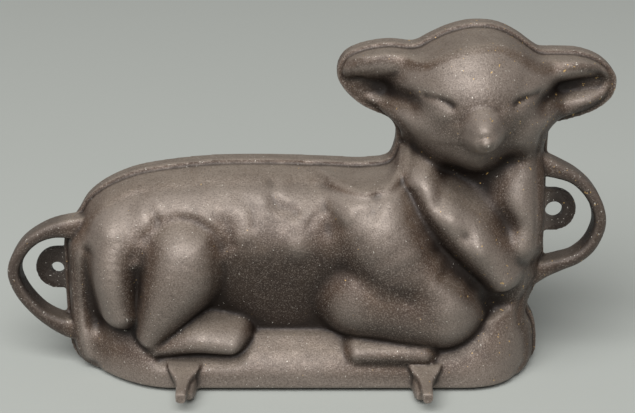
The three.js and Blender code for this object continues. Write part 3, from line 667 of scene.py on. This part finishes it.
def casting(name, direction, shape, flange, fittings, size):
    """One iron casting: rim and lamb fused with what stands out from them, then hollowed."""
    fine = lamb_ring(BODY_STEP)[1]
    body = block("body", direction, fine, BODY_RINGS, BODY_GRID, -OVERLAP,
                 lambda x, z: np.maximum(relief(x, z, shape), flange * THINNEST))
    edge = inset_ring(fine, -size.flange_proud)
    edge[:, 1] = np.maximum(edge[:, 1], 0)
    rim = plate("rim", edge, *sorted((-OVERLAP * direction, flange * direction)))
    whole = join([body, rim] + fittings, name)
    fuse(whole, size.grain, FILLET_ROUNDS)
    # Trimmed at the parting face and at the table by slabs that are far wider than the mould
    front, back = sorted((0, -direction * 0.02))
    cut(whole, slab("beyond", (-0.3, front, -0.1), (0.3, back, 0.4)))
    cut(whole, slab("under", (-0.3, -0.2, -0.02), (0.3, 0.2, 0)))
    inner = inset_ring(lamb_ring(HOLLOW_STEP)[1], size.wall)
    hollow = block("hollow", direction, inner, HOLLOW_RINGS, HOLLOW_STEP, -OPENING,
                   lambda x, z: cavity(x, z, shape, size.wall))
    cut(whole, hollow)
    return whole


def vertex_points(mesh):
    points = np.empty(len(mesh.vertices) * 3, np.float32)
    mesh.vertices.foreach_get("co", points)
    return points.reshape(-1, 3)


def vertex_normals(mesh):
    normals = np.empty(len(mesh.vertices) * 3, np.float32)
    mesh.vertex_normals.foreach_get("vector", normals)
    return normals.reshape(-1, 3)


def store(mesh, name, values):
    """Keeps a value for each vertex, which the material can read by its name."""
    layer = mesh.attributes.new(name, "FLOAT", "POINT")
    layer.data.foreach_set("value", values.astype(np.float32))


def settle(mesh, direction):
    """Moves a half from the drawing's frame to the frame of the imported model."""
    shift = np.array([X(MIDDLE_SHARE), PARTING + direction * HALF_GAP, 0])
    points = vertex_points(mesh) + shift
    mesh.vertices.foreach_set("co", points.ravel().astype(np.float32))
    mesh.update()
    mesh.shade_smooth()
    mesh.set_sharp_from_angle(angle=SHARP_ANGLE)


def bends(mesh):
    """How far each vertex stands out of its close surroundings, in millimetres: hollows below 0."""
    points = vertex_points(mesh).astype(float)
    count = len(points)
    edges = np.empty(len(mesh.edges) * 2, np.int32)
    mesh.edges.foreach_get("vertices", edges)
    a, b = edges[::2], edges[1::2]
    near = np.maximum(np.bincount(a, minlength=count) + np.bincount(b, minlength=count), 1)
    soft = points.copy()
    for _ in range(BEND_ROUNDS):
        for k in range(3):
            total = np.bincount(a, soft[b, k], count) + np.bincount(b, soft[a, k], count)
            soft[:, k] = (soft[:, k] + total / near) / 2
    return np.sum((points - soft) * vertex_normals(mesh), axis=1) / MM


def hollows(mesh, shape):
    """How far each vertex of the lamb's outside lies below what is round it, in millimetres."""
    step, low, high = 2.5 * MM, (X(-0.46), Z(-0.05)), (X(0.54), Z(1.05))
    xs, zs = np.arange(low[0], high[0], step), np.arange(low[1], high[1], step)
    depth = relief(*np.meshgrid(xs, zs), shape)
    inward = smooth_step(4 * MM, 8 * MM, distance_to_line(*np.meshgrid(xs, zs), SIDE))
    soft = depth.copy()
    reach, passes = 4, 3
    for axis in (0, 1):
        for _ in range(passes):
            soft = sum(np.roll(soft, k, axis) for k in range(-reach, reach + 1)) / (2 * reach + 1)
    x, y, z = vertex_points(mesh).T.astype(float)
    # A last place just short of the grid's edge keeps its next neighbour on the grid
    column = np.clip((x - low[0]) / step, 0, len(xs) - 1.001)
    row = np.clip((z - low[1]) / step, 0, len(zs) - 1.001)
    i, j = row.astype(int), column.astype(int)
    a, b = row - i, column - j

    def here(grid):
        left = grid[i, j] * (1 - a) + grid[i + 1, j] * a
        return left * (1 - b) + (grid[i, j + 1] * (1 - a) + grid[i + 1, j + 1] * a) * b

    skin_depth = 2 * MM
    outside = np.abs(y) > here(depth) - skin_depth
    return np.where(outside, (here(soft) - here(depth)) * here(inward) / MM, 0)


def loop_insides(mesh):
    """Which vertices belong to a loop or a lug, and how far each faces the middle of its loop."""
    x, _, z = vertex_points(mesh).T.astype(float)
    normals = vertex_normals(mesh)
    middle_x, middle_z = np.sign(x) * X(0.41), np.where(x < 0, Z(0.27), Z(0.45))
    to_middle = np.column_stack([middle_x - x, middle_z - z])
    to_middle /= np.maximum(np.linalg.norm(to_middle, axis=1), 1e-6)[:, None]
    facing = normals[:, 0] * to_middle[:, 0] + normals[:, 2] * to_middle[:, 1]
    fitting = ~is_inside(x, z, RING) & (distance_to_line(x, z, RING) > 1.5 * MM)
    return fitting, smooth_step(0.35, 0.8, facing)


def linear(code):
    """An sRGB hex colour as the linear red, green, blue and alpha that Blender works in."""
    parts = [int(code[k : k + 2], 16) / 255 for k in (1, 3, 5)]
    return tuple(c / 12.92 if c <= 0.04045 else ((c + 0.055) / 1.055) ** 2.4 for c in parts) + (1,)


def add(tree, kind, inputs=None, **settings):
    """Adds a node with its settings; an input that is given a socket is linked to it."""
    node = tree.nodes.new(kind)
    for key, value in settings.items():
        setattr(node, key, value)
    for key, value in (inputs or {}).items():
        if isinstance(value, bpy.types.NodeSocket):
            tree.links.new(value, node.inputs[key])
        else:
            node.inputs[key].default_value = value
    return node


def maths(tree, operation, *values):
    return add(tree, "ShaderNodeMath", dict(enumerate(values)), operation=operation).outputs[0]


def mix(tree, share, below, above):
    inputs = {0: share, 6: below, 7: above}
    return add(tree, "ShaderNodeMix", inputs, data_type="RGBA").outputs[2]


def mask(tree, value, name, *shares):
    """A reading turned into a share; a mask that names no shares takes them here, or 0 and 1."""
    low, high, *own = MASKS[name]
    to_low, to_high = own or shares or (0, 1)
    inputs = {0: value, 1: low, 2: high, 3: to_low, 4: to_high}
    return add(tree, "ShaderNodeMapRange", inputs, clamp=True).outputs[0]


def noise(tree, place, size, detail, roughness, seed):
    """Noise whose features are about the given size in metres."""
    inputs = {"Vector": place, "W": seed, "Scale": 1 / size, "Detail": detail,
              "Roughness": roughness}
    return add(tree, "ShaderNodeTexNoise", inputs, noise_dimensions="4D").outputs[0]


def seasoned_sand_cast_iron(name, finish, seed, dark):
    """Grey iron poured in sand and seasoned with oil: a fine pebbled grain under a thin
    brown-black film, glossier on the crests that hands have rubbed, lighter on broad crests as
    rubbed iron and painted highlight, dull and nearly black in the hollows and on what faces down
    as old oil and painted shade, and greyed by kitchen dust and painted top light wherever it
    faces up. Loops and lugs are darker by the given share, as old oil because they are not
    scoured, and as painted shade."""
    material = bpy.data.materials.new(name)
    material.use_nodes = True
    tree = material.node_tree
    tree.nodes.clear()
    place = add(tree, "ShaderNodeTexCoord").outputs["Object"]
    own = add(tree, "ShaderNodeSeparateXYZ", {0: place}).outputs
    normal = add(tree, "ShaderNodeNewGeometry").outputs["Normal"]
    facing = add(tree, "ShaderNodeSeparateXYZ", {0: normal}).outputs[2]
    bend = add(tree, "ShaderNodeAttribute", attribute_name="bend").outputs["Fac"]
    hollow = add(tree, "ShaderNodeAttribute", attribute_name="hollow").outputs["Fac"]
    # Mottles of thicker and thinner oil film
    broad = noise(tree, place, 30 * MM, detail=3, roughness=0.6, seed=seed)
    patch = noise(tree, place, 6 * MM, detail=3, roughness=0.6, seed=seed + 1)
    # Sand grain is 0.3 mm: drawn larger, so that it shows
    grain = noise(tree, place, finish.grain, detail=2, roughness=0.6, seed=seed + 2)
    pits = noise(tree, place, finish.grain * PIT_RATIO, detail=1, roughness=0.5, seed=seed + 3)
    chip = noise(tree, place, 1.6 * MM, detail=2, roughness=0.7, seed=seed + 4)
    worn = noise(tree, place, 12 * MM, detail=4, roughness=0.7, seed=seed + 5)
    crumb = noise(tree, place, 2.4 * MM, detail=2, roughness=0.6, seed=seed + 6)

    # Dust and painted top light: what faces up is greyer and lighter, unevenly
    dust_and_painted_top_light_mask = maths(tree, "MULTIPLY", mask(tree, facing, "faces up"), mask(tree, worn, "uneven dust"))
    # Painted shade in broad hollows and on the inner faces of the loops, together with old oil;
    # less of it on what faces up
    oil_and_painted_shade_in_hollows = maths(tree, "MULTIPLY", mask(tree, hollow, "broad hollow"),
                 mask(tree, facing, "oil and shade thin out facing up"))
    # Painted shade on the loops and lugs, together with old oil, as they are not scoured
    oil_and_painted_shade_on_fittings = maths(tree, "MULTIPLY", mask(tree, maths(tree, "ABSOLUTE", own[0]), "beyond the ends"),
                 mask(tree, own[2], "below the neck", 0, dark))
    chips = maths(tree, "ADD", chip, mask(tree, bend, "chips on crests"))
    # Most crumbs of old dough lie beside the face
    crumbs = maths(tree, "ADD", crumb, mask(tree, own[0], "beside the face"))
    film = linear(finish.film)
    for share, code in (
        (mask(tree, broad, "thin film"), finish.thin_film),
        (mask(tree, patch, "thick film"), finish.thick_film),
        # Dust and painted top light on what faces up
        (maths(tree, "MULTIPLY", dust_and_painted_top_light_mask, finish.dust_and_painted_top_light_strength), finish.dust_and_painted_top_light),
        # Painted shade on what faces down, together with old oil
        (mask(tree, facing, "faces down"), finish.old_oil_and_painted_shade),
        # Painted highlight on broad crests, together with rubbed iron
        (mask(tree, hollow, "broad crest"), finish.rubbed_iron_and_painted_highlight),
        (mask(tree, grain, "grain top"), finish.rubbed_iron_and_painted_highlight),
        (mask(tree, grain, "grain pit"), finish.old_oil_and_painted_shade),
        # Painted shade in broad hollows and inside the loops, together with old oil
        (oil_and_painted_shade_in_hollows, finish.old_oil_and_painted_shade),
        # Painted shade in sharp creases, together with old oil
        (mask(tree, bend, "sharp hollow"), finish.old_oil_and_painted_shade),
        (mask(tree, bend, "sharp crest"), finish.rubbed_iron_and_painted_highlight),
        # Painted shade on the loops and lugs, together with old oil
        (oil_and_painted_shade_on_fittings, finish.old_oil_and_painted_shade),
        (mask(tree, chips, "chip"), finish.chip),
        (mask(tree, crumbs, "crumb"), finish.crumb),
    ):
        film = mix(tree, share, film, linear(code))

    height = maths(tree, "ADD", grain, pits)
    bump = add(tree, "ShaderNodeBump", {"Strength": finish.bump, "Distance": finish.grain_depth,
                                        "Height": height}).outputs[0]
    shader = add(tree, "ShaderNodeBsdfPrincipled", {
        "Base Color": film,
        "Metallic": finish.metallic,
        "Roughness": mask(tree, patch, "film gloss", finish.gloss_rough, finish.dull_rough),
        "Normal": bump,
        "Coat Weight": mask(tree, hollow, "dull hollow", finish.coat, 0),
        "Coat Roughness": finish.gloss_rough,
        "Coat Normal": bump,
    })
    add(tree, "ShaderNodeOutputMaterial", {"Surface": shader.outputs[0]})
    return material


def length(name, description, default):
    return bpy.props.FloatProperty(
        name=name, description=description, default=default, subtype="DISTANCE", precision=5)


def factor(name, description, default):
    return bpy.props.FloatProperty(
        name=name, description=description, default=default, subtype="FACTOR")


def colour(name, description, default):
    return bpy.props.StringProperty(
        name=name, description=description + ", as sRGB hex", default=default)


class MouldSizes(bpy.types.PropertyGroup):
    wall: length("Wall", "Thickness of the casting", 3.6 * MM)
    front_flange: length("Front flange", "Thickness of the front half's rim", 4 * MM)
    back_flange: length("Back flange", "Thickness of the back half's rim", 6.5 * MM)
    flange_proud: length("Flange stands out", "How far a rim stands out", 2.5 * MM)
    strap: length("Loop strap", "Thickness of a loop handle's strap", 7.0 * MM)
    loop_depth: length("Loop depth", "Depth of a loop handle, front to back", 16 * MM)
    lug_thickness: length("Lug thickness", "Thickness of a hanging lug", 4.5 * MM)
    lug_radius: length("Lug radius", "Radius of a hanging lug's round end", 12.8 * MM)
    left_hole: length("Left hole", "Radius of the left lug's hole", 3.8 * MM)
    right_hole: length("Right hole", "Radius of the right lug's hole", 5 * MM)
    grain: length("Mesh grain", "Size of the faces that the castings get", 1.0 * MM)


class IronFinish(bpy.types.PropertyGroup):
    film: colour("Oil film", "Main colour", "#4a3a2f")
    thin_film: colour("Thin film", "Where the oil is thin", "#5b4a3d")
    thick_film: colour("Thick film", "Where the oil is thick", "#392b22")
    # Old oil and painted shade: the colour of the hollows, the creases and what faces down
    old_oil_and_painted_shade: colour("Old oil", "Colour in the hollows", "#190f09")
    # Rubbed iron on sharp crests and grain tops, and a painted highlight on broad crests
    rubbed_iron_and_painted_highlight: colour("Rubbed iron", "Colour of the crests", "#8a7f76")
    chip: colour("Chips", "Colour of the pale chips", "#cfc9bf")
    crumb: colour("Crumbs", "Colour of old dough", "#c6a263")
    # Dust and painted top light on what faces up
    dust_and_painted_top_light: colour("Dust", "Colour of the dust on what faces up", "#9a8f82")
    dust_and_painted_top_light_strength: factor("Dustiness", "How much dust lies on what faces up", 0.7)
    # Old oil and painted shade on the loops and lugs
    loop_oil_and_painted_shade: factor("Darker loops", "How much old oil covers the loops", 0.35)
    lug_oil_and_painted_shade: factor("Darker lugs", "How much old oil covers the lugs", 0.75)
    coat: factor("Oil gloss", "Share of the clear oil coat", 0.2)
    grain: length("Grain", "Size of the cast grain", 0.8 * MM)
    grain_depth: length("Grain depth", "Depth of the cast grain", 0.35 * MM)
    bump: factor("Grain strength", "Strength of the cast grain", 0.6)
    metallic: factor("Metallic", "How much metal shows through the film", 0.35)
    gloss_rough: factor("Gloss", "Roughness where the film is smooth", 0.46)
    dull_rough: factor("Dull", "Roughness where the film is thick", 0.66)


class Studio(bpy.types.PropertyGroup):
    floor: colour("Floor", "Floor colour", "#a1a49f")
    floor_radius: length("Floor radius", "Radius of the round floor", 4.0)
    lens: bpy.props.FloatProperty(
        name="Lens", description="Focal length", default=95.24, subtype="DISTANCE_CAMERA")
    distance: length("Distance", "From the camera to the mould", 0.968)
    elevation: bpy.props.FloatProperty(
        name="Elevation", description="Camera's angle above the floor",
        default=math.radians(20), subtype="ANGLE")
    aim: bpy.props.FloatVectorProperty(
        name="Aim", description="Where the camera looks", subtype="TRANSLATION", precision=5,
        default=(X(MIDDLE_SHARE) + 4.25 * MM, PARTING, 95.4 * MM))
    box_place: bpy.props.FloatVectorProperty(
        name="Soft box", description="Where the soft box hangs",
        default=(-0.72, -3.00, 3.48), subtype="TRANSLATION")
    box_width: length("Soft box width", "Longer side of the soft box", 4.8)
    box_height: length("Soft box height", "Shorter side of the soft box", 3.1)
    box_power: bpy.props.FloatProperty(
        name="Soft box power", description="Power of the soft box", default=389.0, subtype="POWER")
    fill: factor("Fill", "Strength of the light from all round", 0.20)


def finish_half(obj, shape, body, node, slot, seed, dark):
    mesh = obj.data
    # Painted shade, together with oil and soot, on the inner faces of the loops: as dark as in a
    # hollow that is 8 mm deep
    fitting, inner = loop_insides(mesh)
    store(mesh, "hollow", np.where(fitting, 8 * inner, hollows(mesh, shape)))
    settle(mesh, -1 if body == "front_half" else 1)
    store(mesh, "bend", bends(mesh))
    finish = bpy.context.scene.iron_finish
    mesh.materials.clear()
    mesh.materials.append(seasoned_sand_cast_iron(slot, finish, seed, dark))
    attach(obj, body)
    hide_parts(node)


class MOULD_OT_front_half(bpy.types.Operator):
    """Casts the front half: lamb's face side, rim, both loops and both feet"""
    bl_idname = "mould.front_half"
    bl_label = "Front half"

    def execute(self, context):
        size, dark = context.scene.mould_sizes, context.scene.iron_finish.loop_oil_and_painted_shade
        shape = half_shape(FRONT_REACH, FRONT_SWELLS, FRONT_DOMES, FRONT_BUMPS, FRONT_CREASES)
        fittings = [loop_handle("left loop", LEFT_LOOP_SHARES, size),
                    loop_handle("right loop", RIGHT_LOOP_SHARES, size)]
        for share in FOOT_SHARES:
            fittings += foot("foot", X(share))
        obj = casting("lamb_face_casting", -1, shape, size.front_flange, fittings, size)
        finish_half(obj, shape, "front_half", "front_half", "front_iron", 0.0, dark)
        return {"FINISHED"}


class MOULD_OT_back_half(bpy.types.Operator):
    """Casts the back half: lamb's back, thicker rim and both hanging lugs"""
    bl_idname = "mould.back_half"
    bl_label = "Back half"

    def execute(self, context):
        size, dark = context.scene.mould_sizes, context.scene.iron_finish.lug_oil_and_painted_shade
        shape = half_shape(BACK_REACH, BACK_SWELLS, BACK_DOMES, [], BACK_CREASES)
        fittings = [lug("lug", row, size.lug_radius, size.lug_thickness) for row in LUG_SHARES]
        obj = casting("lamb_back_casting", 1, shape, size.back_flange, fittings, size)
        for (x, z), radius in zip(LUG_SHARES, (size.left_hole, size.right_hole)):
            cut(obj, plate("hole", circle(X(x), Z(z), radius, steps=48), *HOLE_CUT))
        finish_half(obj, shape, "back_half", "back_half", "back_iron", 7.0, dark)
        return {"FINISHED"}


class MOULD_OT_stage(bpy.types.Operator):
    """Sets the pale floor, the soft light and the camera"""
    bl_idname = "mould.stage"
    bl_label = "Stage"

    def execute(self, context):
        scene = context.scene
        studio = scene.studio
        rim = [(x, y, 0) for x, y in circle(0, 0, studio.floor_radius, steps=96)]
        floor = new_object("studio_floor", rim, [tuple(range(len(rim)))])
        # Matt painted board, which takes the mould's soft shadow
        board = bpy.data.materials.new("matt_painted_board")
        board.use_nodes = True
        shader = board.node_tree.nodes["Principled BSDF"]
        shader.inputs["Base Color"].default_value = linear(studio.floor)
        shader.inputs["Roughness"].default_value = 0.9
        floor.data.materials.append(board)

        world = bpy.data.worlds.new("soft_studio")
        scene.world = world
        world.use_nodes = True
        tree = world.node_tree
        tree.nodes.clear()
        # The camera sees the floor's colour behind it, and everything else is lit by the fill
        seen = add(tree, "ShaderNodeLightPath").outputs["Is Camera Ray"]
        light = add(tree, "ShaderNodeBackground", {"Color": (1, 1, 1, 1), "Strength": studio.fill})
        behind = add(tree, "ShaderNodeBackground", {"Color": linear(studio.floor), "Strength": 1.0})
        both = add(tree, "ShaderNodeMixShader",
                   {0: seen, 1: light.outputs[0], 2: behind.outputs[0]})
        add(tree, "ShaderNodeOutputWorld", {"Surface": both.outputs[0]})

        lamp = bpy.data.lights.new("overhead_soft_box", "AREA")
        lamp.shape = "RECTANGLE"
        lamp.size, lamp.size_y = studio.box_width, studio.box_height
        lamp.energy = studio.box_power
        soft_box = bpy.data.objects.new("overhead_soft_box", lamp)
        scene.collection.objects.link(soft_box)
        soft_box.location = studio.box_place
        mould = Vector((0, 0, 0.1))
        towards = mould - soft_box.location
        soft_box.rotation_euler = towards.to_track_quat("-Z", "Y").to_euler()

        target = Vector(studio.aim)
        away = Vector((0, -math.cos(studio.elevation), math.sin(studio.elevation)))
        back = away * studio.distance
        lens = bpy.data.cameras.new("photograph_view")
        lens.lens = studio.lens
        lens.sensor_width = 36
        camera = bpy.data.objects.new("photograph_view", lens)
        scene.collection.objects.link(camera)
        camera.location = target + back
        camera.rotation_euler = (-back).to_track_quat("-Z", "Y").to_euler()
        scene.camera = camera
        scene.view_settings.view_transform = "Standard"
        return {"FINISHED"}


class MOULD_PT_panel(bpy.types.Panel):
    bl_label = "Cast-iron lamb mould"
    bl_space_type = "VIEW_3D"
    bl_region_type = "UI"
    bl_category = "Mould"

    def draw(self, context):
        for group, steps in GROUPS:
            box = self.layout.box()
            settings = getattr(context.scene, group)
            for key in settings.__annotations__:
                box.prop(settings, key)
            for step in steps:
                box.operator(step.bl_idname)


GROUPS = [
    ("mould_sizes", [MOULD_OT_front_half, MOULD_OT_back_half]),
    ("iron_finish", []),
    ("studio", [MOULD_OT_stage]),
]
CLASSES = [MouldSizes, IronFinish, Studio, MOULD_OT_front_half, MOULD_OT_back_half, MOULD_OT_stage,
           MOULD_PT_panel]


def register():
    for cls in CLASSES:
        bpy.utils.register_class(cls)
    bpy.types.Scene.mould_sizes = bpy.props.PointerProperty(type=MouldSizes)
    bpy.types.Scene.iron_finish = bpy.props.PointerProperty(type=IronFinish)
    bpy.types.Scene.studio = bpy.props.PointerProperty(type=Studio)


def unregister():
    for name in ("mould_sizes", "iron_finish", "studio"):
        delattr(bpy.types.Scene, name)
    for cls in reversed(CLASSES):
        bpy.utils.unregister_class(cls)


def main():
    register()
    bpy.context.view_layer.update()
    bpy.ops.mould.stage()
    bpy.ops.mould.front_half()
    bpy.ops.mould.back_half()


if __name__ == "__main__":
    main()
